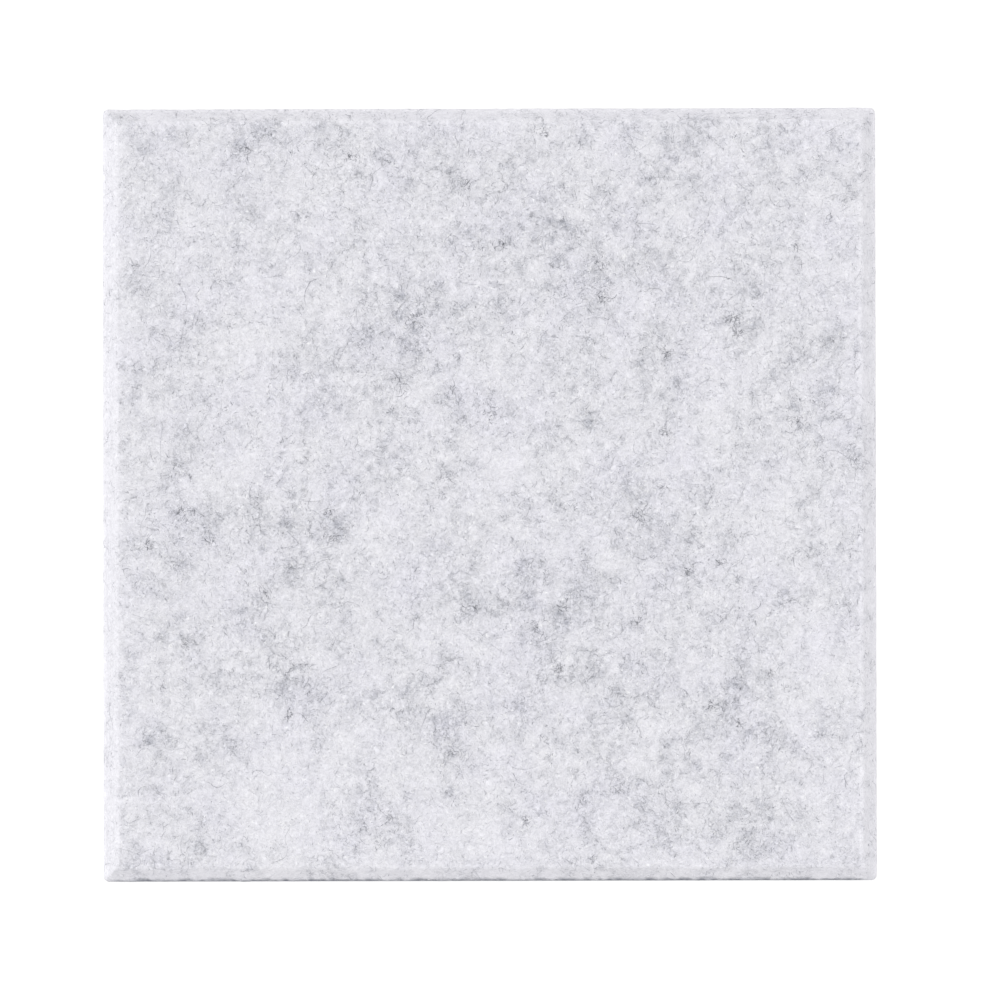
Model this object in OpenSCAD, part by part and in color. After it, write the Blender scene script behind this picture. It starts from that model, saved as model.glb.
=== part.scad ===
// Square wall tile of needled polyester felt, pressed into a stiff board with bevelled edges.
// It lies on its flat back with the bevelled face up. The origin is the centre of the back,
// +X is the right of the face, +Y the top of the face and +Z points out of the face.
// Lengths are in millimetres and angles in degrees.

/* [Board] */
// Width of the board, from butt edge to butt edge along X
board_w = 300; // [150:10:600]
// Height of the board, from butt edge to butt edge along Y
board_h = 300; // [150:10:600]
// Thickness of the felt, from the back to the face
board_t = 9; // [8:0.5:25]

/* [Bevel] */
// Run of the bevel, measured inwards from the butt edge to the ridge
bevel_run = 5.2; // [3:0.1:6]
// Angle of the bevel, measured down from the face
bevel_angle = 45; // [30:1:45]

/* [Softened edges] */
// Radius of the shoulder, where the face rolls over into the bevel
shoulder_r = 3; // [0.5:0.1:6]
// Radius of the nose, where the bevel turns down into the butt edge
nose_r = 0.8; // [0.2:0.1:1.5]
// Radius of the heel, where the butt edge turns under to the back
heel_r = 0.4; // [0.2:0.1:1]
// Radius of the four corners of the board, seen from the front
corner_r = 2; // [0.5:0.1:4]

/* [Hidden] */

// Smoothness of the preview: the arcs are true arcs in the finished solid
$fn = 96;
// Height of the square butt edge that is left under the bevel, before its ends are rounded
butt_h = board_t - bevel_run * tan(bevel_angle);
// How far a swept section runs on past the board, so that its ends cut nothing
overrun = 10;
felt_grey = [0.86, 0.86, 0.88];

// Unit vector from point a to point b
function direction(a, b) = (b - a) / norm(b - a);

// Corner i of a rounded outline, worked out as [arc start, arc centre, arc end, radius].
// A corner is [x, y, radius]. The arc touches both sides at the tangent length from the corner.
function arc_at(corners, i) =
    let (
        n = len(corners),
        here = [corners[i][0], corners[i][1]],
        before = [corners[(i + n - 1) % n][0], corners[(i + n - 1) % n][1]],
        after = [corners[(i + 1) % n][0], corners[(i + 1) % n][1]],
        r = corners[i][2],
        back = direction(here, before),
        on = direction(here, after),
        half = acos(back * on) / 2
    )
    [
        here + back * r / tan(half),
        here + direction([0, 0], back + on) * r / sin(half),
        here + on * r / tan(half),
        r
    ];

// Convex outline with a true arc at each corner: the polygon is cut along each arc's chord,
// and a full circle fills the arc back in.
module rounded_outline(corners) {
    arcs = [for (i = [0 : len(corners) - 1]) arc_at(corners, i)];
    polygon([for (a = arcs) each [a[0], a[2]]]);
    for (a = arcs)
        translate(a[1]) circle(r = a[3]);
}

// Section across the board: flat back, square butt edge, bevel, soft shoulder, flat face.
// x runs across the board and y is the height above the back.
module board_section(width) {
    edge = width / 2;
    ridge = edge - bevel_run;
    rounded_outline([
        [edge, 0, heel_r],
        [edge, butt_h, nose_r],
        [ridge, board_t, shoulder_r],
        [-ridge, board_t, shoulder_r],
        [-edge, butt_h, nose_r],
        [-edge, 0, heel_r]
    ]);
}

// Outline of the board seen from the front
module board_plan() {
    x = board_w / 2;
    y = board_h / 2;
    rounded_outline([
        [x, -y, corner_r],
        [x, y, corner_r],
        [-x, y, corner_r],
        [-x, -y, corner_r]
    ]);
}

// The board is one pressed piece. The same section is carried along both directions, so the
// bevels and their soft edges meet in mitres, and the plan rounds off the four corners.
module felt_board() {
    color(felt_grey)
        intersection() {
            rotate([90, 0, 0])
                linear_extrude(height = board_h + 2 * overrun, center = true)
                    board_section(board_w);
            rotate([90, 0, 90])
                linear_extrude(height = board_w + 2 * overrun, center = true)
                    board_section(board_h);
            linear_extrude(height = board_t)
                board_plan();
        }
}

felt_board();
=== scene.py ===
# Looks of a square wall tile of needled polyester felt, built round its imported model.
# Every length is in metres: mm turns millimetres into metres.
import math

import bpy
import numpy as np
from mathutils import Matrix, Vector


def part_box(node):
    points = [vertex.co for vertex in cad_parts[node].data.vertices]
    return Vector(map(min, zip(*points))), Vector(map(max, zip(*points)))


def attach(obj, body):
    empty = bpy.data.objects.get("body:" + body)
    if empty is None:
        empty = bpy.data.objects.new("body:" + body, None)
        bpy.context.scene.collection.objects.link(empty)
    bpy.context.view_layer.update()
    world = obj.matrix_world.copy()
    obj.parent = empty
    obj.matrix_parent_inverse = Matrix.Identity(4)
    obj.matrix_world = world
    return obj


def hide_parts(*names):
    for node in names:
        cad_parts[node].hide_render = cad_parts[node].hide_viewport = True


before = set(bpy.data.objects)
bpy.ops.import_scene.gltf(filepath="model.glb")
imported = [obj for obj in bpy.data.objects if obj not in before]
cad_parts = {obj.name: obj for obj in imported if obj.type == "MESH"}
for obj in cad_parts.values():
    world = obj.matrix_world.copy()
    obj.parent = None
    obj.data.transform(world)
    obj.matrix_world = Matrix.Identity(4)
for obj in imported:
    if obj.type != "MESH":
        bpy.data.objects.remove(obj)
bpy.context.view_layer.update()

mm = 0.001
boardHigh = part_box("felt_board")[1]
halfWide = boardHigh.x
thickness = boardHigh.z
print("frame loaded, board", round(2 * halfWide / mm), "mm wide,", round(thickness / mm, 1), "mm thick")


# sRGB hex colour turned to linear: ((c + 0.055) / 1.055) ** 2.4 above the toe
def linear(hexColour):
    parts = np.array([int(hexColour[i:i + 2], 16) / 255 for i in (1, 3, 5)])
    curved = ((parts + 0.055) / 1.055) ** 2.4
    return (*np.where(parts <= 0.04045, parts / 12.92, curved), 1.0)


# Adds one node and returns its outputs. An input that is given a socket is linked to it, and one that
# is given a number, a colour or a vector is set to it. Settings are the node's own properties.
def addNode(tree, kind, inputs={}, settings={}):
    made = tree.nodes.new("ShaderNode" + kind)
    for name, value in settings.items():
        setattr(made, name, value)
    for name, value in inputs.items():
        if isinstance(value, bpy.types.NodeSocket):
            tree.links.new(value, made.inputs[name])
        else:
            made.inputs[name].default_value = value
    return made.outputs


def emptyMaterial(name):
    material = bpy.data.materials.new(name)
    material.use_nodes = True
    material.node_tree.nodes.clear()
    return material, material.node_tree


# Heather: how thickly the dark fibres lie. Clouds, pale areas and tangles are x, y and radius in
# millimetres from the middle of the face, then their strength.
heather = {
    "clouds": [
        (39, 87, 14, 1.0), (-33, 62, 17, 1.0), (26, -42, 15, 1.0), (66, -16, 13, 0.8),
        (90, -83, 13, 0.8), (123, 26, 10, 0.8), (64, 44, 13, 0.6), (-74, -78, 11, 0.7),
        (-13, 115, 11, 0.5), (6, 97, 9, 0.7), (-63, -10, 9, 0.7), (-113, -8, 12, 0.6),
        (-87, -38, 11, 0.5), (-60, -36, 9, 0.5), (-118, -57, 8, 0.6), (95, 68, 9, 0.8),
        (-3, 32, 12, 0.5), (62, -125, 13, 0.5), (101, -130, 16, 0.5), (78, 138, 11, 0.6),
        (112, 124, 10, 0.5), (-95, 134, 9, 0.6), (-31, -82, 12, 0.4), (-7, -43, 9, 0.5),
        (26, -69, 8, 0.6), (64, 120, 9, 0.4), (-132, -99, 10, 0.4), (132, 64, 9, 0.5),
        (23, 105, 11, 0.6), (51, -76, 12, 0.4), (-130, 66, 9, 0.3), (-70, 34, 9, 0.3),
    ],
    "pale": [
        (-80, -119, 27, 0.9), (-4, -132, 19, 0.9), (134, -66, 15, 0.8), (133, -115, 16, 0.7),
        (-95, 54, 16, 0.6), (0, 48, 13, 0.6), (4, 13, 15, 0.6), (93, 37, 13, 0.6),
        (-97, 17, 13, 0.6), (-120, 99, 12, 0.5), (-70, 91, 15, 0.5), (132, 99, 17, 0.5),
        (-41, -18, 10, 0.6), (111, -10, 15, 0.5), (85, 44, 11, 0.5), (-135, -68, 10, 0.6),
    ],
    "tangles": [
        (-63, -7, 2.0, 1.0), (-61, -17, 2.0, 0.9), (58, -50, 2.2, 1.0), (95, 68, 4.0, 1.0),
        (120, 27, 3.6, 1.0), (4, 97, 3.0, 1.0), (-9, 120, 2.0, 0.7), (-54, 131, 3.0, 0.8),
        (43, 76, 3.6, 1.0), (42, 90, 4.0, 0.8), (69, 24, 2.6, 0.7), (77, -30, 2.6, 0.9),
        (90, -27, 2.0, 0.7), (27, -68, 2.6, 0.8), (-118, -58, 2.4, 0.7), (-78, -86, 2.4, 0.7),
        (-87, -38, 3.0, 0.7), (28, -43, 3.4, 0.9), (18, -51, 3.4, 0.8), (-118, -6, 4.0, 0.7),
        (-109, -18, 2.6, 0.6), (-132, -20, 2.2, 0.5), (-6, -44, 3.0, 0.7), (22, 140, 2.0, 0.5),
        (-95, 134, 4.0, 0.7), (-29, 68, 3.4, 0.7), (-35, 43, 4.0, 0.7), (69, 54, 3.4, 0.8),
        (58, -8, 3.4, 0.8), (97, -90, 2.4, 0.7), (87, -83, 3.0, 0.7), (14, -127, 2.4, 0.6),
        (-15, -100, 2.0, 0.5), (109, -70, 2.0, 0.5), (2, 32, 3.0, 0.6), (96, 62, 2.6, 0.8),
    ],
    "placeWeights": (1.9, 1.7, 0.1),  # of the clouds, the pale areas and the tangles
    "bend": 3.5 * mm,  # how far those places are bent out of round
    "bendWaves": (5 * mm, 25 * mm),
    "cells": 680,
    "span": 330 * mm,  # the face with its rim folded flat round it
    "cloudWaves": (1.4 * mm, 60 * mm),
    "contrast": 0.285,
    "usual": 0.3,
    "mean": 0.33,  # of the finished map
    # Strands: lines along which the dark fibres gather, where a cloud map passes through 0
    "strandWaves": (2.6 * mm, 40 * mm),
    "strandWidth": 0.10,  # as a share of the map's spread, about 0.5 mm
    "strandPull": 6.5,
    "strandTurn": 0.85,  # how far a fibre on a strand turns along it
}


# Cloud map: white noise in which each wave's height grows with its length to the power given, faded
# out below the shortest and above the longest wave. It has mean 0 and spread 1.
def cloudMap(shortest, longest, power, seed):
    cells = heather["cells"]
    noise = np.random.default_rng(seed).standard_normal((cells, cells))
    pitch = np.fft.fftfreq(cells, heather["span"] / cells)
    waves = np.hypot(pitch[:, None], pitch[None, :])
    waves[0, 0] = 1e-6
    gain = waves ** -power * np.exp(-(shortest * waves) ** 2 - (1 / (longest * waves)) ** 2)
    field = np.fft.ifft2(np.fft.fft2(noise) * gain).real
    return (field - field.mean()) / field.std()


# Reads a map between its cells: the mean of the four nearest, weighted by nearness
def readMap(field, x, y):
    cells = heather["cells"]
    across = np.clip((x / heather["span"] + 0.5) * (cells - 1), 0, cells - 1.001)
    up = np.clip((y / heather["span"] + 0.5) * (cells - 1), 0, cells - 1.001)
    column, row = across.astype(int), up.astype(int)
    a, b = across - column, up - row
    low = field[row, column] * (1 - a) + field[row, column + 1] * a
    high = field[row + 1, column] * (1 - a) + field[row + 1, column + 1] * a
    return low * (1 - b) + high * b


# Sum of soft spots: strength * exp(-(distance / radius) ** 2), on places bent out of round
def spots(rows, x, y):
    placeX, placeY, radius, strength = (np.array(rows) * [mm, mm, mm, 1]).T[..., None, None]
    near = ((x - placeX) ** 2 + (y - placeY) ** 2) / radius ** 2
    return (strength * np.exp(-near)).sum(0)


# Heather map: usual * exp(contrast * clouds), so that it is skewed to the dark, from near 0 for bare
# white felt to about 1 for the darkest patches
def heatherMap():
    axis = np.linspace(-0.5, 0.5, heather["cells"]) * heather["span"]
    x, y = np.meshgrid(axis, axis)
    bentX = x + heather["bend"] * cloudMap(*heather["bendWaves"], 1.5, 11)
    bentY = y + heather["bend"] * cloudMap(*heather["bendWaves"], 1.5, 12)
    clouds, pale, tangles = (
        weight * spots(heather[kind], bentX, bentY)
        for weight, kind in zip(heather["placeWeights"], ("clouds", "pale", "tangles"))
    )
    drawn = cloudMap(*heather["cloudWaves"], 0.95, 13)
    return heather["usual"] * np.exp(heather["contrast"] * (drawn + clouds - pale)) + tangles


heatherField = heatherMap()
strandField = cloudMap(*heather["strandWaves"], 1.7, 14)
strandRise, strandRun = np.gradient(strandField)
print("heather map drawn, thickness from", heatherField.min().round(2), "to", heatherField.max().round(2))

# Board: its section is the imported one, and the relief is the uneven surface that needling leaves
board = {
    "bevelRun": 5.2 * mm,
    "bevelAngle": math.radians(45),
    "shoulderR": 3 * mm,
    "noseR": 0.8 * mm,
    "heelR": 0.4 * mm,
    "cornerR": 2 * mm,
    "faceLines": 256,  # evenly spaced lines of the face's grid
    "edgeSteps": [0.4, 0.4, 0.5, 0.6, 0.7, 0.8],  # millimetres between the lines next to the shoulder
    "arcPoints": [7, 4, 3],  # points round the shoulder, the nose and the heel
    "straightPoints": [5, 3],  # points added down the bevel and down the butt edge
    "reliefHeight": 0.07 * mm,
    "reliefWaves": (2.4 * mm, 22 * mm),
    "rollDrop": 0.2 * mm,  # how far the face sinks towards the shoulder
    "rollRun": 6 * mm,
    # Each side: how far inside the shoulder's middle its crest lies in millimetres, the painted highlight
    # on the crest and on the face behind it, most on the lit left side, the painted highlight on the nose,
    # and how much stronger the heather
    "sides": [
        (0.15, 0.28, 0.38, 0.6, 0.0),  # left
        (0.90, -0.03, 0.16, 0.8, 0.9),  # right
        (-0.50, 0.04, 0.20, 0.0, 1.2),  # lower
        (0.00, 0.00, 0.11, 0.9, 0.6),  # upper
    ],
    "crestWidth": 1.3 * mm,
    "crestWaves": (3 * mm, 20 * mm),  # of the ragged map, which shifts and changes all of this
    "crestWobble": 0.24 * mm,
    "crestRagged": 0.07,
    "bevelPale": 0.72,
    "bevelOnset": 2.2 * mm,  # over which the bevel turns pale
    "darkerBand": (0.12, 1.5 * mm, 0.8 * mm),  # a darker band: how much less pale, how far outside the crest, and its width
    "tailRun": 2.6 * mm,
    "glowRun": 2 * mm,
    "glowRagged": 0.6,
    # The cut butt edge is a little darker, and on the lower side painted shade runs up over the nose and
    # fades down the butt edge, where they face away from the lamps
    "cutDark": 0.3,
    "paintedShadeDark": 1.3,
    "paintedShadeRun": 1.8 * mm,
    "paintedShadeRagged": 0.3,
    "paintedShadeFade": 5 * mm,  # towards the corners
    "paintedShadeBelow": 0.65,  # share of it that is lost on the butt edge
}


def unit(v):
    return v / np.linalg.norm(v, axis=-1, keepdims=True)


# Section of the rim from the face to the back, as (distance in from the butt edge, height) and the
# way it faces: each corner is centre + radius * (cos, sin), and straight stretches join the arcs
def rimSection():
    ridge = board["bevelRun"]
    noseHeight = thickness - ridge * math.tan(board["bevelAngle"])
    corners = np.array([[1, thickness], [ridge, thickness], [0, noseHeight], [0, 0], [1, 0]])
    places, facing = [], []
    for i, radius in enumerate((board["shoulderR"], board["noseR"], board["heelR"]), 1):
        back, on = unit(corners[i - 1] - corners[i]), unit(corners[i + 1] - corners[i])
        half = math.acos(back @ on) / 2
        centre = corners[i] + unit(back + on) * radius / math.sin(half)
        first, last = (corners[i] + way * radius / math.tan(half) - centre for way in (back, on))
        start = math.atan2(first[1], first[0])
        turn = (math.atan2(last[1], last[0]) - start) % math.tau
        angle = start + turn * np.linspace(0, 1, board["arcPoints"][i - 1])
        if places:
            share = np.linspace(0, 1, board["straightPoints"][i - 2] + 2)[1:-1, None]
            arcStart = centre + first
            places.append(places[-1][-1] * (1 - share) + arcStart * share)
            facing.append(np.repeat(facing[-1][-1:], len(share), 0))
        facing.append(np.stack([np.cos(angle), np.sin(angle)], 1))
        places.append(centre + radius * facing[-1])
    return np.concatenate(places), np.concatenate(facing)


section, sectionFacing = rimSection()
faceHalf = halfWide - section[0, 0]
sectionDown = np.cumsum(np.r_[0, np.linalg.norm(np.diff(section, axis=0), axis=1)])  # from the face's edge
shoulderEnd = sectionDown[board["arcPoints"][0] - 1]
noseStart = sectionDown[board["arcPoints"][0] + board["straightPoints"][0]]
buttStart = noseStart + board["noseR"] * board["bevelAngle"]
topRows = np.arange(board["arcPoints"][0] + board["straightPoints"][0] + board["arcPoints"][1])[::-1]
reliefField = cloudMap(*board["reliefWaves"], 1.0, 21)
crestField = cloudMap(*board["crestWaves"], 0.8, 22)


# Distance of a point of the top surface down the rim's section: negative inside the face's edge
def downRim(x, y):
    outer = np.maximum(np.abs(x), np.abs(y))
    onRim = np.interp(halfWide - outer, section[topRows, 0], sectionDown[topRows])
    return np.where(outer < faceHalf, outer - faceHalf, onRim)


# Place of a point when the rim is folded out flat: moved out until it is faceHalf + down from the middle
def unfold(x, y, down):
    stretch = np.where(down > 0, (faceHalf + down) / np.maximum(np.abs(x), np.abs(y)), 1)
    return x * stretch, y * stretch


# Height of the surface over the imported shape: the relief map, faded out down the butt edge, less a
# roll of rollDrop * (1 - |down| / run) ** 2 towards the shoulder
def relief(x, y, down):
    fade = np.clip((sectionDown[-1] - down) / (sectionDown[-1] - noseStart), 0, 1)
    run = np.where(down > 0, shoulderEnd, board["rollRun"])
    roll = board["rollDrop"] * np.clip(1 - np.abs(down) / run, 0, 1) ** 2
    return board["reliefHeight"] * fade * readMap(reliefField, *unfold(x, y, down)) - roll


# Point of the top surface over (x, y), raised by lift, and the way the surface faces there
def onTop(x, y, lift):
    core = halfWide - board["cornerR"]
    past = np.hypot(np.maximum(np.abs(x) - core, 0), np.maximum(np.abs(y) - core, 0))
    pull = np.where(past > board["cornerR"], board["cornerR"] / np.maximum(past, mm), 1)
    x, y = (np.where(np.abs(v) > core, np.sign(v) * (core + (np.abs(v) - core) * pull), v) for v in (x, y))
    wide = np.abs(x) >= np.abs(y)
    inset = halfWide - np.maximum(np.abs(x), np.abs(y))
    z, out, up = (
        np.interp(inset, section[topRows, 0], values[topRows])
        for values in (section[:, 1], -sectionFacing[:, 0], sectionFacing[:, 1])
    )
    sideways = [np.where(wide, np.sign(x) * out, 0), np.where(wide, 0, np.sign(y) * out)]
    facing = unit(np.stack([*sideways, up], -1))
    return np.stack([x, y, z], -1) + facing * (lift + relief(x, y, downRim(x, y)))[..., None], facing


# Puts whole arrays into a mesh. Each entry of faces is an array of faces with as many corners, and
# the same entry of maps gives their corners' places on the UV map's picture.
def addMesh(name, points, faces, maps, attributes, material):
    corners = np.concatenate([f.ravel() for f in faces])
    counts = np.concatenate([np.full(len(f), f.shape[1]) for f in faces])
    mesh = bpy.data.meshes.new(name)
    mesh.vertices.add(len(points))
    mesh.vertices.foreach_set("co", points.astype(np.float32).ravel())
    mesh.loops.add(len(corners))
    mesh.loops.foreach_set("vertex_index", corners.astype(np.int32))
    mesh.polygons.add(len(counts))
    mesh.polygons.foreach_set("loop_start", (np.cumsum(counts) - counts).astype(np.int32))
    mesh.polygons.foreach_set("use_smooth", np.ones(len(counts), bool))
    mesh.update(calc_edges=True)
    places = np.concatenate([m.reshape(-1, 2) for m in maps])
    mesh.uv_layers.new(name="OFBake").uv.foreach_set("vector", places.astype(np.float32).ravel())
    for title, values in attributes.items():
        layer = mesh.attributes.new(title, "FLOAT", "POINT")
        layer.data.foreach_set("value", values.astype(np.float32).ravel())
    mesh.materials.append(material)
    piece = bpy.data.objects.new(name, mesh)
    bpy.context.scene.collection.objects.link(piece)
    return piece


# Needled polyester felt, pressed hot into a board: matt, with no direction on the face, where curly
# dark fibres lie in clouds among the white ones. The heat has pressed the bevels smoother and paler.
felt = {
    "white": "#F5F4F9",
    "heathered": "#ADAFB8",  # white and dark fibres seen as one
    "lavender": "#E3E1EF",
    "pale": "#F5F4FA",
    "paleBlend": 0.75,
    # grey of the cut edges, and also the colour of the painted shade on the lower side
    "cut": "#7C7F8A",
    "layerStretch": 2.0,  # how much thinner the pattern is through the thickness than along it
    "bevelContrast": 0.85,  # contrast of strokes and curls, and height of the bump, where fully pale
    "bevelBump": 0.5,
    # Dark strokes and curls go from 0.3 of their strength, where the heather is under 0.15, to 1.7 of it,
    # where the heather is over 0.6
    "crowding": {1: 0.15, 2: 0.6, 3: 0.3, 4: 1.7},
    # Mat of packed fibres, drawn as strokes that cross in a fan of directions. The fibres are 0.03 mm
    # thick, too fine to show, so each stroke stands for a few side by side: its length and width in
    # millimetres, and how much the light and the dark strokes change the felt's brightness.
    "fan": 6,
    "strokes": [(2.2, 0.55, 0.42, 0.40), (4.0, 1.0, 0.29, 0.50)],
    "means": (0.68, 0.32),  # of the light and the dark crossings
    "bend": (2.5, 3.0),  # millimetres from one bend of the strokes to the next, and how far they are moved
    "patches": (22, 0.28),  # lavender patches: millimetres from one to the next, and their strength
    "cutSpots": (2.5, 0.55),  # spots where the cut's grey and the lower side's painted shade are lighter: millimetres from one to the next, and the least dark
    # Curls are single fibres, drawn 0.1 to 0.2 mm wide to show: millimetres from one to the next, width
    # of the line as a share of the noise, strength, colour, and whether they gather in the dark clouds
    "curls": [
        (1.4, 0.028, 0.28, "#84868F", True),
        (1.8, 0.024, 0.68, "#FFFFFF", False),
        (3.2, 0.016, 0.38, "#787A83", True),
    ],
    "bumpHeight": 0.16 * mm,
}


def pressedFelt():
    material, tree = emptyMaterial("pressed needled polyester felt")
    place = addNode(tree, "TexCoord")["Object"]
    inMm = {"Scale": (1000, 1000, 1000 * felt["layerStretch"])}
    web = addNode(tree, "Mapping", {"Vector": place, **inMm})[0]
    apart, reach = felt["bend"]
    swirl = addNode(tree, "TexNoise", {"Vector": web, "Scale": 1 / apart, "Detail": 0.0})["Color"]
    moved = {0: swirl, 1: (reach, reach, reach), 2: web}
    bent = addNode(tree, "VectorMath", moved, {"operation": "MULTIPLY_ADD"})[0]
    thick, pale, cut = (
        addNode(tree, "Attribute", settings={"attribute_name": name})["Fac"]
        for name in ("heather", "pale", "cut")
    )
    contrast = addNode(tree, "MapRange", {0: pale, 3: 1.0, 4: felt["bevelContrast"]})[0]
    crowded = addNode(tree, "MapRange", {0: thick, **felt["crowding"]})[0]

    # Lightest and darkest of the strokes that cross at a point, for each size of stroke
    crossings = []
    lightMean, darkMean = felt["means"]
    for size, (long, wide, lighter, darker) in enumerate(felt["strokes"]):
        light = dark = None
        for k in range(felt["fan"]):
            angle = math.pi * (k + 0.5 * size) / felt["fan"]
            placed = {
                "Vector": bent, "Location": (17 * k, 31 * size, 5 * k),
                "Rotation": (0, 0, angle), "Scale": (long, wide, wide),
            }
            turned = addNode(tree, "Mapping", placed, {"vector_type": "TEXTURE"})[0]
            stroke = addNode(tree, "TexNoise", {"Vector": turned, "Scale": 1.0, "Detail": 0.0})[0]
            if k == 0:
                light = dark = stroke
            else:
                light = addNode(tree, "Math", {0: light, 1: stroke}, {"operation": "MAXIMUM"})[0]
                dark = addNode(tree, "Math", {0: dark, 1: stroke}, {"operation": "MINIMUM"})[0]
        crossings += [(light, lightMean, lighter, 1.0), (dark, darkMean, darker, crowded)]

    mixed = {0: thick, 6: linear(felt["white"]), 7: linear(felt["heathered"])}
    colour = addNode(tree, "Mix", mixed, {"data_type": "RGBA"})[2]
    apart, strength = felt["patches"]
    patch = addNode(tree, "TexNoise", {"Vector": web, "Scale": 1 / apart, "Detail": 3.0})[0]
    patch = addNode(tree, "MapRange", {0: patch, 1: 0.42, 2: 0.7, 4: strength})[0]
    mixed = {0: patch, 6: colour, 7: linear(felt["lavender"])}
    colour = addNode(tree, "Mix", mixed, {"data_type": "RGBA"})[2]

    # A curl runs where a noise passes through 0.5, and a second noise breaks it up
    for i, (apart, wide, strength, hexColour, gathered) in enumerate(felt["curls"]):
        moved = addNode(tree, "Mapping", {"Vector": web, "Location": (13 * i, 13 * i, 13 * i)})[0]
        curled = {"Vector": moved, "Scale": 1 / apart, "Detail": 1.5, "Distortion": 0.6}
        off = addNode(tree, "TexNoise", curled)[0]
        off = addNode(tree, "Math", {0: off, 1: 0.5}, {"operation": "SUBTRACT"})[0]
        off = addNode(tree, "Math", {0: off}, {"operation": "ABSOLUTE"})[0]
        line = addNode(tree, "MapRange", {0: off, 2: wide, 3: strength, 4: 0.0})[0]
        broken = addNode(tree, "TexNoise", {"Vector": moved, "Scale": 1.25 / apart, "Detail": 0.0})[0]
        broken = addNode(tree, "MapRange", {0: broken, 1: 0.4, 2: 0.62})[0]
        for share in (broken, contrast, crowded) if gathered else (broken, contrast):
            line = addNode(tree, "Math", {0: line, 1: share}, {"operation": "MULTIPLY"})[0]
        colour = addNode(tree, "Mix", {0: line, 6: colour, 7: linear(hexColour)}, {"data_type": "RGBA"})[2]

    # Paler felt of the pressed bevels, with painted highlights on the crests, the face behind them and the
    # noses
    share = addNode(tree, "Math", {0: pale, 1: felt["paleBlend"]}, {"operation": "MULTIPLY"})[0]
    colour = addNode(tree, "Mix", {0: share, 6: colour, 7: linear(felt["pale"])}, {"data_type": "RGBA"})[2]
    # Grey of the cut edges, and painted shade on the lower side's nose and butt edge, broken into spots
    apart, least = felt["cutSpots"]
    unevenCut = addNode(tree, "TexNoise", {"Vector": web, "Scale": 1 / apart, "Detail": 2.0})[0]
    unevenCut = addNode(tree, "MapRange", {0: unevenCut, 1: 0.35, 2: 0.6, 3: least})[0]
    share = addNode(tree, "Math", {0: cut, 1: unevenCut}, {"operation": "MULTIPLY"})[0]
    colour = addNode(tree, "Mix", {0: share, 6: colour, 7: linear(felt["cut"])}, {"data_type": "RGBA"})[2]

    # Brightness is 1 + contrast * sum of strength * share * (crossing - its mean), where the share of the
    # dark ones grows with the heather
    level, raised = 0.0, 0.0
    for crossing, mean, strength, share in crossings:
        raised = addNode(tree, "Math", {0: crossing, 1: raised}, {"operation": "ADD"})[0]
        change = addNode(tree, "Math", {0: crossing, 1: mean}, {"operation": "SUBTRACT"})[0]
        change = addNode(tree, "Math", {0: change, 1: share}, {"operation": "MULTIPLY"})[0]
        level = addNode(tree, "Math", {0: change, 1: strength, 2: level}, {"operation": "MULTIPLY_ADD"})[0]
    value = addNode(tree, "Math", {0: level, 1: contrast, 2: 1.0}, {"operation": "MULTIPLY_ADD"})[0]
    colour = addNode(tree, "HueSaturation", {"Color": colour, "Value": value})[0]
    pressed = addNode(tree, "MapRange", {0: pale, 3: 1.0, 4: felt["bevelBump"]})[0]
    bump = addNode(tree, "Bump", {"Height": raised, "Strength": pressed, "Distance": felt["bumpHeight"]})[0]
    shader = addNode(tree, "BsdfPrincipled", {
        "Base Color": colour, "Normal": bump, "Roughness": 0.95,
        "Specular IOR Level": 0.2, "Sheen Weight": 0.06, "Sheen Roughness": 0.6,
    })[0]
    addNode(tree, "OutputMaterial", {"Surface": shader})
    return material


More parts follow.
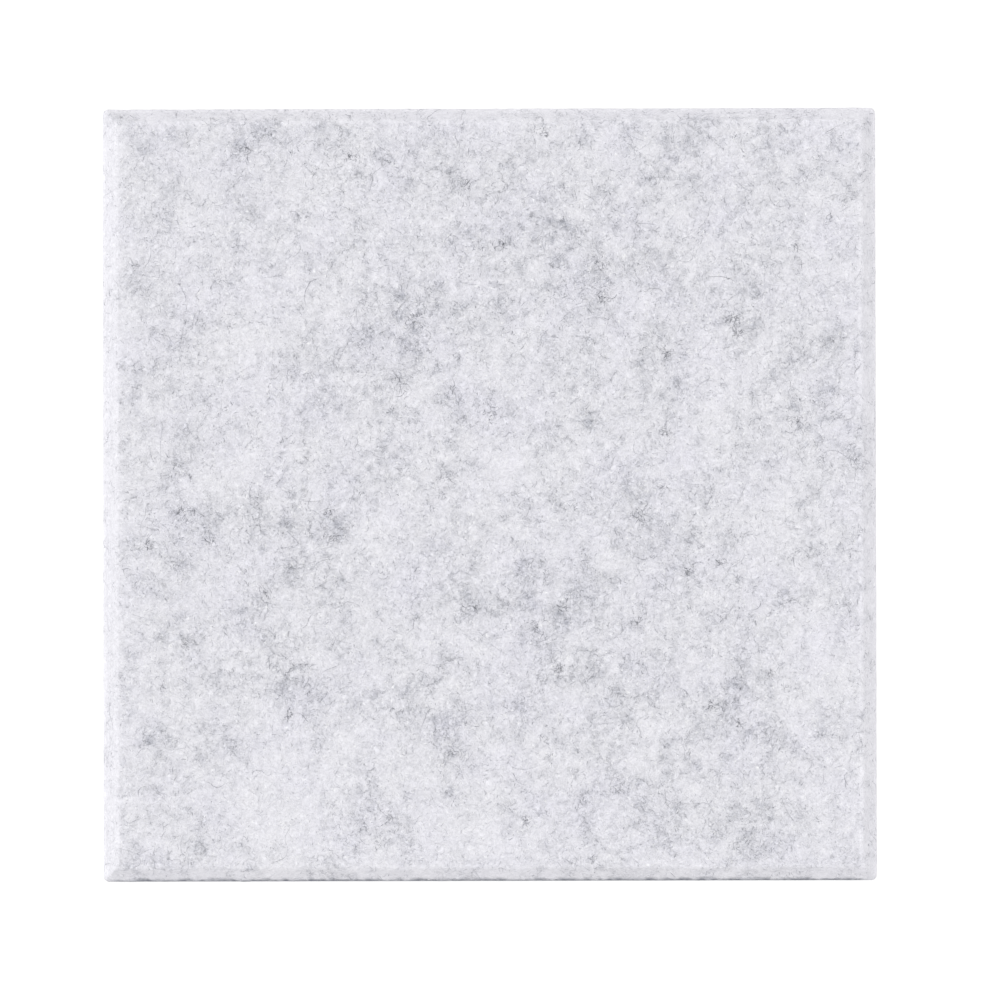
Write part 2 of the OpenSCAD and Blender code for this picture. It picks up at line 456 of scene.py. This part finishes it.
# How the felt changes from place to place, as the attributes that its material reads. Distances run
# down the section: past is beyond the crest, and below goes from 0 to 1 over the first millimetre of
# the butt edge.
#   heather = map + patchy * bevel * (map - its mean)
#   pale = bevelPale * bevel + crest - band + tail + glow, with a darker band outside the crest, and painted
#   highlights: crest and tail most on the lit left side, glow on the nose
#   cut colour's share = cutDark * below, and on the lower side painted shade, darkest near the nose, faded
#   at its ends
def feltShades(x, y, down):
    flatX, flatY = unfold(x, y, down)
    ragged = readMap(crestField, flatX, flatY)
    side = np.where(np.abs(x) > np.abs(y), x > 0, 2 + (y > 0))
    crestIn, crestHighlight, tailHighlight, noseHighlight, patchy = np.array(board["sides"])[side].T
    past = down - shoulderEnd / 2 + crestIn * mm + board["crestWobble"] * ragged
    bevel = np.clip(past / board["bevelOnset"] + 0.5, 0, 1)
    # Painted highlights on the crest and the face behind it (tail), most on the lit left side, and on the
    # nose (glow)
    crest = (crestHighlight + board["crestRagged"] * ragged) * np.exp(-(past / board["crestWidth"]) ** 2)
    bandDark, bandOut, bandWidth = board["darkerBand"]
    darkerBand = bandDark * np.exp(-((past - bandOut) / bandWidth) ** 2)
    tail = tailHighlight * np.exp(np.minimum(past, 0) / board["tailRun"]) * (past < 0)
    glow = noseHighlight * np.clip(1 + (down - noseStart) / board["glowRun"], 0, 1) ** 2
    glow = glow * np.clip(1 + board["glowRagged"] * ragged, 0, 2)

    # Painted shade on the lower side, over the nose and down the butt edge, which face away from the lamps
    toButt = down - buttStart
    below = np.clip(toButt / mm, 0, 1)
    paintedShadeReach = board["paintedShadeRun"] * np.clip(1 + board["paintedShadeRagged"] * ragged, 0.5, 1.5)
    paintedShade = np.clip(board["paintedShadeDark"] * (1 + toButt / paintedShadeReach), 0, 1)
    paintedShade = paintedShade * (1 - board["paintedShadeBelow"] * below)
    paintedShade = paintedShade * (1 - np.exp(-((halfWide - np.abs(x)) / board["paintedShadeFade"]) ** 2))
    heathered = readMap(heatherField, flatX, flatY)
    return {
        "heather": heathered + patchy * bevel * (heathered - heather["mean"]),
        "pale": board["bevelPale"] * bevel + crest - darkerBand + tail + glow,
        "cut": np.where(side == 2, paintedShade, board["cutDark"] * below),
    }


# Picture of the felt's UV map, in shares of its side: the face at the lower left, the four
# sides of the rim in strips above it, and the back at the lower right
picture = {
    "margin": 0.01,
    "face": 0.7,
    "stripLong": 0.73,
    "firstStrip": 0.74,
    "stripStep": 0.05,
    "back": 0.26,
    "backMiddle": (0.86, 0.14),
}


# The face is a flat grid of lines, closer together near the shoulder. Its outer ring is carried down
# the rim's section, each ring a square whose corners open into the plan's radius near the edge, and a
# single flat face closes the back. The relief is added along the way that each point faces.
def feltBoard():
    edge = np.cumsum([0] + board["edgeSteps"]) * mm
    middle = np.linspace(-faceHalf + edge[-1], faceHalf - edge[-1], board["faceLines"])
    lines = np.concatenate([edge[:-1] - faceHalf, middle, faceHalf - edge[:-1][::-1]])
    n = len(lines)
    x, y = np.meshgrid(lines, lines)
    face = np.stack([x, y, np.full_like(x, thickness)], -1).reshape(-1, 3)
    index = np.arange(n * n).reshape(n, n)
    ring = np.concatenate([index[0, :-1], index[:-1, -1], index[-1, :0:-1], index[:0:-1, 0]])
    onRing = face[ring, :2] / faceHalf

    inset, height = section[1:, 0, None, None], section[1:, 1]
    opening = board["cornerR"] * np.clip(1 - inset / board["bevelRun"], 0.02, 1) ** 2
    square = onRing * (halfWide - inset)
    core = halfWide - inset - opening
    way = unit(np.maximum(np.abs(square) - core, 0)) * np.sign(square)
    plan = np.sign(square) * np.minimum(np.abs(square), core) + way * opening
    rim = np.concatenate([plan, np.broadcast_to(height[:, None, None], (*plan.shape[:2], 1))], -1)
    out, up = -sectionFacing[1:, 0, None, None], sectionFacing[1:, 1, None, None]
    rimFacing = np.concatenate([way * out, np.broadcast_to(up, (*plan.shape[:2], 1))], -1)

    points = np.concatenate([face, rim.reshape(-1, 3)])
    facing = np.concatenate([np.broadcast_to([0, 0, 1], face.shape), rimFacing.reshape(-1, 3)])
    faceDown = np.maximum(np.abs(face[:, 0]), np.abs(face[:, 1])) - faceHalf
    down = np.concatenate([faceDown, np.repeat(sectionDown[1:], len(ring))])
    x, y = points[:, :2].T
    shades = feltShades(x, y, down)
    points = points + facing * relief(x, y, down)[:, None]

    gridFaces = np.stack([index[:-1, :-1], index[:-1, 1:], index[1:, 1:], index[1:, :-1]], -1)
    gridFaces = gridFaces.reshape(-1, 4)
    rings = np.concatenate([ring[None], n * n + np.arange(rim.shape[0] * len(ring)).reshape(-1, len(ring))])
    rimFaces = np.stack([rings[:-1], rings[1:], np.roll(rings[1:], -1, 1), np.roll(rings[:-1], -1, 1)], -1)
    backFace = rings[-1][None, ::-1]

    scale = picture["face"] / (2 * faceHalf)
    gridMap = picture["margin"] + (points[gridFaces, :2] + faceHalf) * scale
    along = np.tile(np.arange(n), (len(section), 1)) * picture["stripLong"] / (n - 1) + picture["margin"]
    side = np.stack([along, np.broadcast_to(sectionDown[:, None] * scale, along.shape)], -1)
    sideMap = np.stack([side[:-1, :-1], side[1:, :-1], side[1:, 1:], side[:-1, 1:]], 2)
    strips = picture["firstStrip"] + picture["stripStep"] * np.arange(4)
    rimMap = np.concatenate([sideMap + [0, strip] for strip in strips], 1)
    backMap = picture["backMiddle"] + points[backFace, :2] * (picture["back"] / (2 * halfWide))

    return addMesh(
        "felt_surface", points, [gridFaces, rimFaces.reshape(-1, 4), backFace],
        [gridMap, rimMap, backMap], shades, pressedFelt(),
    )


surface = feltBoard()
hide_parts("felt_board")
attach(surface, "root")
print("felt surface made,", len(surface.data.polygons), "faces")

# Loose fibres: polyester staple of about 0.03 mm, drawn 0.08 to 0.19 mm thick so that it shows. Each
# lies on the surface, dips in and out of it, and has both ends in the felt.
fibres = {
    # Fibres in a piece, points along each, median length, spread of the length's logarithm, and
    # thickness as a share of the kind's
    "long": (1100, 12, 6.0 * mm, 0.5, 0.8),
    "short": (15800, 4, 1.7 * mm, 0.4, 1.0),
    "longest": 24 * mm,
    "bend": 1.4,  # radians from end to end
    "swing": 0.5,
    "rise": 0.14 * mm,
    "ripple": 0.35,
    "tints": (2.6, 0.9),  # so that most are near the paler of the two colours
    "inset": 0.25 * mm,  # of the outermost point from the butt edge
    "offStrands": 0.25,  # density away from the strands
    "onBevels": (0.4, 0.85),  # density on the left bevel and on the others
    # From this far above the nose, fibres lie along the edge, within this many radians, and are straighter
    "edgeBand": 0.8 * mm,
    "edgeSpread": 0.3,
    "edgeBend": 0.3,
    "edgeSwing": 0.4,
    # Fibres in each tangle, points along each, spread of their starts as a share of its radius, bend
    # and swing
    "tangle": (22, 6, 0.35, 3.0, 0.8),
}
darkFibre = {
    "radius": (0.05 * mm, 0.095 * mm),
    "density": (2.9, 0.002),  # drawn in proportion to heather ** power + base
    "colours": ("#72747D", "#CACBD1"),
    "rough": 0.6,
}
whiteFibre = {
    "radius": (0.04 * mm, 0.07 * mm),
    "density": (0.0, 1.0),
    "colours": ("#EEEEF3", "#FFFFFF"),
    "rough": 0.5,
}


# Dyed or raw polyester staple: round, smooth and a little glossy, so each fibre catches the light
# along its top. Its tint changes from fibre to fibre, and a little along it.
def stapleFibre(name, kind):
    material, tree = emptyMaterial(name)
    place = addNode(tree, "TexCoord")["Object"]
    inMm = addNode(tree, "Mapping", {"Vector": place, "Scale": (1000, 1000, 1000)})[0]
    along = addNode(tree, "TexNoise", {"Vector": inMm, "Scale": 0.8, "Detail": 1.0})[0]
    tint = addNode(tree, "Attribute", settings={"attribute_name": "tint"})["Fac"]
    mixed = addNode(tree, "Math", {0: along, 1: 0.4, 2: tint}, {"operation": "MULTIPLY_ADD"})[0]
    share = addNode(tree, "MapRange", {0: mixed, 1: 0.2, 2: 1.2})[0]
    low, high = (linear(c) for c in kind["colours"])
    colour = addNode(tree, "Mix", {0: share, 6: low, 7: high}, {"data_type": "RGBA"})[2]
    shader = addNode(tree, "BsdfPrincipled", {
        "Base Color": colour, "Roughness": kind["rough"], "Specular IOR Level": 0.3,
    })[0]
    addNode(tree, "OutputMaterial", {"Surface": shader})
    return material


# Nearness to a strand, exp(-(map / width) ** 2), and the heading along it, square to the map's slope
def strandAt(x, y):
    near = np.exp(-(readMap(strandField, x, y) / heather["strandWidth"]) ** 2)
    return near, np.arctan2(readMap(strandRun, x, y), -readMap(strandRise, x, y))


# Starts of fibres, drawn in proportion to heather ** power * (offStrands + pull * nearness) + base, and
# thinner on the bevels
def fibrePlaces(draw, count, kind):
    edge = halfWide - fibres["inset"]
    x, y = draw.uniform(-edge, edge, (2, 8 * count))
    down = downRim(x, y)
    flatX, flatY = unfold(x, y, down)
    power, base = kind["density"]
    gathered = fibres["offStrands"] + heather["strandPull"] * strandAt(flatX, flatY)[0] if power else 1
    weight = readMap(heatherField, flatX, flatY) ** power * gathered + base
    leftShare, otherShare = fibres["onBevels"]
    weight = weight * np.where(down > 0, np.where(x < -np.abs(y), leftShare, otherShare), 1)
    taken = draw.choice(len(x), count, replace=False, p=weight / weight.sum())
    return x[taken], y[taken]


# Curly lines: the heading goes start + bend * s + swing * sin(tau * s / wave + phase) with s from 0 to
# 1, turned towards the strand by as much as the point is near it, and each point is one step along
# the heading from the last
def curlyLines(draw, x, y, length, points, bend, swing):
    count = len(x)
    s = np.linspace(0, 1, points)
    start = draw.uniform(0, math.tau, count)
    nearEdge = downRim(x, y) > noseStart - fibres["edgeBand"]
    alongEdge = np.where(np.abs(x) > np.abs(y), math.pi / 2, 0)
    alongEdge = alongEdge + draw.normal(0, fibres["edgeSpread"], count)
    alongEdge += math.pi * draw.integers(0, 2, count)
    start = np.where(nearEdge, alongEdge, start)
    bend = draw.normal(0, bend, count) * np.where(nearEdge, fibres["edgeBend"], 1)
    swing = swing * draw.uniform(0.3, 1.2, count) * np.where(nearEdge, fibres["edgeSwing"], 1)
    wave, phase = draw.uniform(0.55, 1.4, count), draw.uniform(0, math.tau, count)
    swung = swing[:, None] * np.sin(math.tau * s / wave[:, None] + phase[:, None])
    heading = start[:, None] + bend[:, None] * (s - 0.5) + swung
    step = length / (points - 1)
    edge = halfWide - fibres["inset"]
    lines = [(x, y)]
    for way in heading.T[:-1]:
        near, strand = strandAt(x, y)
        turn = (strand - way + math.pi / 2) % math.pi - math.pi / 2
        way = way + heather["strandTurn"] * turn * near * ~nearEdge
        x, y = (np.clip(v + step * part(way), -edge, edge) for v, part in ((x, np.cos), (y, np.sin)))
        lines.append((x, y))
    return np.array(lines).transpose(1, 2, 0)


# A fibre is a closed three-sided tube along its line. Its corner k is at line + radius * (cos a * side
# + sin a * up) with a = 90, 210 and 330 degrees, and both ends close in a point.
def fibrePiece(name, lines, lift, radius, tint, material):
    x, y = lines
    count, points = x.shape
    middle, up = onTop(x, y, lift)
    tangent = unit(np.gradient(middle, axis=1))
    side = unit(np.cross(up, tangent))
    up = np.cross(tangent, side)
    angle = np.radians([90, 210, 330])
    turned = np.cos(angle)[:, None] * side[:, 1:-1, None] + np.sin(angle)[:, None] * up[:, 1:-1, None]
    rings = middle[:, 1:-1, None] + radius[:, None, None, None] * turned
    one = np.concatenate([middle[:, :1], rings.reshape(count, -1, 3), middle[:, -1:]], 1)

    k, on = np.arange(3), (np.arange(3) + 1) % 3
    row = 1 + 3 * np.arange(points - 3)[:, None]
    last = 3 * (points - 2) + 1
    ends = np.concatenate([
        np.stack([0 * k, 1 + on, 1 + k], -1), np.stack([last + 0 * k, last - 3 + k, last - 3 + on], -1),
    ])
    sides = np.stack([row + k, row + on, row + 3 + on, row + 3 + k], -1).reshape(-1, 4)
    first = (np.arange(count) * one.shape[1])[:, None, None]

    # Each fibre has a cell of the picture, with its length across the cell and its sides up it
    across = np.concatenate([[0], np.repeat(np.arange(1, points - 1), 3), [points - 1]]) / (points - 1)
    lowV, highV = np.tile(k, points - 3) / 3, np.tile(k + 1, points - 3) / 3
    sideMap = np.stack([across[sides], np.stack([lowV, highV, highV, lowV], -1)], -1)
    endV = np.tile(np.stack([(k + 0.5) / 3, (k + 1) / 3, k / 3], -1), (2, 1))
    endMap = np.stack([across[ends], endV], -1)
    cells = math.ceil(math.sqrt(count))
    corner = np.stack([np.arange(count) % cells, np.arange(count) // cells], -1)[:, None, None] + 0.1
    maps = [(corner + 0.8 * own) / cells for own in (endMap, sideMap)]

    piece = addMesh(
        name, one.reshape(-1, 3), [(first + ends).reshape(-1, 3), (first + sides).reshape(-1, 4)], maps,
        {"tint": np.repeat(tint, one.shape[1])}, material,
    )
    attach(piece, "root")
    return piece


# Fibres along their lines. The height goes rise * (sin(pi * s) + ripple wave) less the radius.
def layFibres(draw, name, kind, material, lines, tint, slim):
    count, points = lines[0].shape
    s = np.linspace(0, 1, points)
    turns, phase = draw.uniform(0.8, 2.0, (count, 1)), draw.uniform(0, math.tau, (count, 1))
    wave = fibres["ripple"] * np.sin(math.tau * s * turns + phase)
    radius = draw.uniform(*kind["radius"], count) * slim
    rise = fibres["rise"] * draw.uniform(0.3, 1.0, (count, 1))
    lift = rise * (np.sin(math.pi * s) + wave * (0 < s) * (s < 1)) - radius[:, None]
    return fibrePiece(name, lines, lift, radius, tint, material)


# Fibres scattered over the face and the bevels
def scatterFibres(name, kind, material, size, seed):
    draw = np.random.default_rng(seed)
    count, points, median, spread, slim = fibres[size]
    x, y = fibrePlaces(draw, count, kind)
    length = np.minimum(median * np.exp(draw.normal(0, spread, count)), fibres["longest"])
    lines = curlyLines(draw, x, y, length, points, fibres["bend"], fibres["swing"])
    return layFibres(draw, name, kind, material, lines, draw.beta(*fibres["tints"], count), slim)


# Tangles: small knots of tightly curled dark fibres, darker where the knot is stronger
def tangledFibres(name, kind, material, seed):
    draw = np.random.default_rng(seed)
    each, points, spread, bend, swing = fibres["tangle"]
    rows = np.repeat(np.array(heather["tangles"]) * [mm, mm, mm, 1], each, 0)
    knotX, knotY, reach, strength = rows.T
    x, y = (middle + draw.normal(0, spread, len(rows)) * reach for middle in (knotX, knotY))
    lines = curlyLines(draw, x, y, reach * draw.uniform(0.5, 1.5, len(rows)), points, bend, swing)
    tint = (1.1 - strength) * draw.uniform(-0.4, 1.2, len(rows))
    return layFibres(draw, name, kind, material, lines, tint, 1.0)


darkMaterial = stapleFibre("dyed grey polyester fibre", darkFibre)
whiteMaterial = stapleFibre("raw white polyester fibre", whiteFibre)
pieces = [
    scatterFibres("grey_fibres_long", darkFibre, darkMaterial, "long", 31),
    scatterFibres("grey_fibres_short_1", darkFibre, darkMaterial, "short", 32),
    scatterFibres("grey_fibres_short_2", darkFibre, darkMaterial, "short", 33),
    scatterFibres("white_fibres", whiteFibre, whiteMaterial, "short", 34),
    tangledFibres("tangled_fibres", darkFibre, darkMaterial, 35),
]
print("fibres made,", sum(len(piece.data.polygons) for piece in pieces), "faces")

# Studio: a pale paper sweep under soft light, between two low soft boxes, the stronger on the left.
# A lamp's light on a surface that faces it is its level / pi.
studio = {
    "skyLevel": 0.772,
    "lamps": {  # level, and where its light comes from
        "left soft box": (1.17, (-0.89, 0.12, 0.43)),
        "right soft box": (0.54, (0.90, 0.06, 0.43)),
    },
    "softness": math.radians(40),
    "paper": "#A3A3A3",
    "paperGlow": 0.78,  # what the camera sees besides the light on the paper
    "paperHalf": 15.0,
    "paperLevel": -0.05 * mm,  # just under the tile's back
}


# 1 for rays that see the background: from the camera, off gloss and through glass
def seesBackground(tree):
    path = addNode(tree, "LightPath")
    either = path["Is Camera Ray"]
    for name in ("Is Glossy Ray", "Is Transmission Ray"):
        either = addNode(tree, "Math", {0: either, 1: path[name]}, {"operation": "MAXIMUM"})[0]
    return either


def lightStudio():
    world = bpy.data.worlds.new("white studio")
    bpy.context.scene.world = world
    world.use_nodes = True
    tree = world.node_tree
    tree.nodes.clear()
    sky, shown = (
        addNode(tree, "Background", {"Color": (1, 1, 1, 1), "Strength": level})[0]
        for level in (studio["skyLevel"], 1)
    )
    mixed = addNode(tree, "MixShader", {0: seesBackground(tree), 1: sky, 2: shown})[0]
    addNode(tree, "OutputWorld", {"Surface": mixed})

    for name, (level, source) in studio["lamps"].items():
        lamp = bpy.data.lights.new(name, "SUN")
        lamp.energy, lamp.angle = level, studio["softness"]
        box = bpy.data.objects.new(name, lamp)
        box.rotation_mode = "QUATERNION"
        box.rotation_quaternion = Vector(source).to_track_quat("Z", "Y")
        bpy.context.scene.collection.objects.link(box)


# Uncoated white paper: it keeps the tile's faint shadow, and a glow seen by the camera lifts it to white
def paperSweep():
    material, tree = emptyMaterial("white paper sweep")
    matt = addNode(tree, "BsdfDiffuse", {"Color": linear(studio["paper"])})[0]
    lifted = {0: seesBackground(tree), 1: studio["paperGlow"]}
    glow = addNode(tree, "Math", lifted, {"operation": "MULTIPLY"})[0]
    glow = addNode(tree, "Emission", {"Color": (1, 1, 1, 1), "Strength": glow})[0]
    both = addNode(tree, "AddShader", {0: matt, 1: glow})[0]
    addNode(tree, "OutputMaterial", {"Surface": both})

    half, level = studio["paperHalf"], studio["paperLevel"]
    mesh = bpy.data.meshes.new("paper_sweep")
    corners = [(-half, -half, level), (half, -half, level), (half, half, level), (-half, half, level)]
    mesh.from_pydata(corners, [], [(0, 1, 2, 3)])
    mesh.materials.append(material)
    floor = bpy.data.objects.new("paper_sweep", mesh)
    bpy.context.scene.collection.objects.link(floor)


lightStudio()
paperSweep()
print("studio lit")

# Camera: overhead and far off with a long lens, a little to the right and below of square on
cameraView = {
    "pictureWide": 1000,
    "tileWide": 772.6,  # pixels
    "tileMiddle": (489.5, 494.4),  # pixels from the picture's top left
    "lens": 1200,  # millimetres
    "sensor": 36,  # millimetres
    "fromRight": math.radians(0.6),
    "fromBelow": math.radians(2.4),
    "roll": math.radians(-0.11),
}


# The camera stands at aim + distance * away, where the distance gives the tile its width in pixels
# and the aim is moved off the tile's middle by as many pixels as the tile is off the picture's
def placeCamera():
    scale = 2 * halfWide / cameraView["tileWide"]  # metres a pixel
    distance = cameraView["lens"] / cameraView["sensor"] * cameraView["pictureWide"] * scale
    away = Vector((math.sin(cameraView["fromRight"]), -math.sin(cameraView["fromBelow"]), 0))
    away.z = math.sqrt(1 - away.length_squared)
    across = Vector((0, 1, 0)).cross(away).normalized()
    upward = away.cross(across)
    middle = cameraView["pictureWide"] / 2
    offX, offY = middle - cameraView["tileMiddle"][0], middle - cameraView["tileMiddle"][1]
    aim = Vector((0, 0, thickness / 2)) + (across * offX - upward * offY) * scale
    lens = bpy.data.cameras.new("overhead camera")
    lens.lens, lens.sensor_width = cameraView["lens"], cameraView["sensor"]
    lens.clip_start, lens.clip_end = 0.1, 100
    camera = bpy.data.objects.new("overhead camera", lens)
    facing = Matrix((across, upward, away)).transposed().to_4x4()
    rolled = Matrix.Rotation(cameraView["roll"], 4, "Z")
    camera.matrix_world = Matrix.Translation(aim + away * distance) @ facing @ rolled
    bpy.context.scene.collection.objects.link(camera)
    bpy.context.scene.camera = camera


placeCamera()
viewSettings = bpy.context.scene.view_settings
viewSettings.view_transform = "Standard"
print("camera placed")
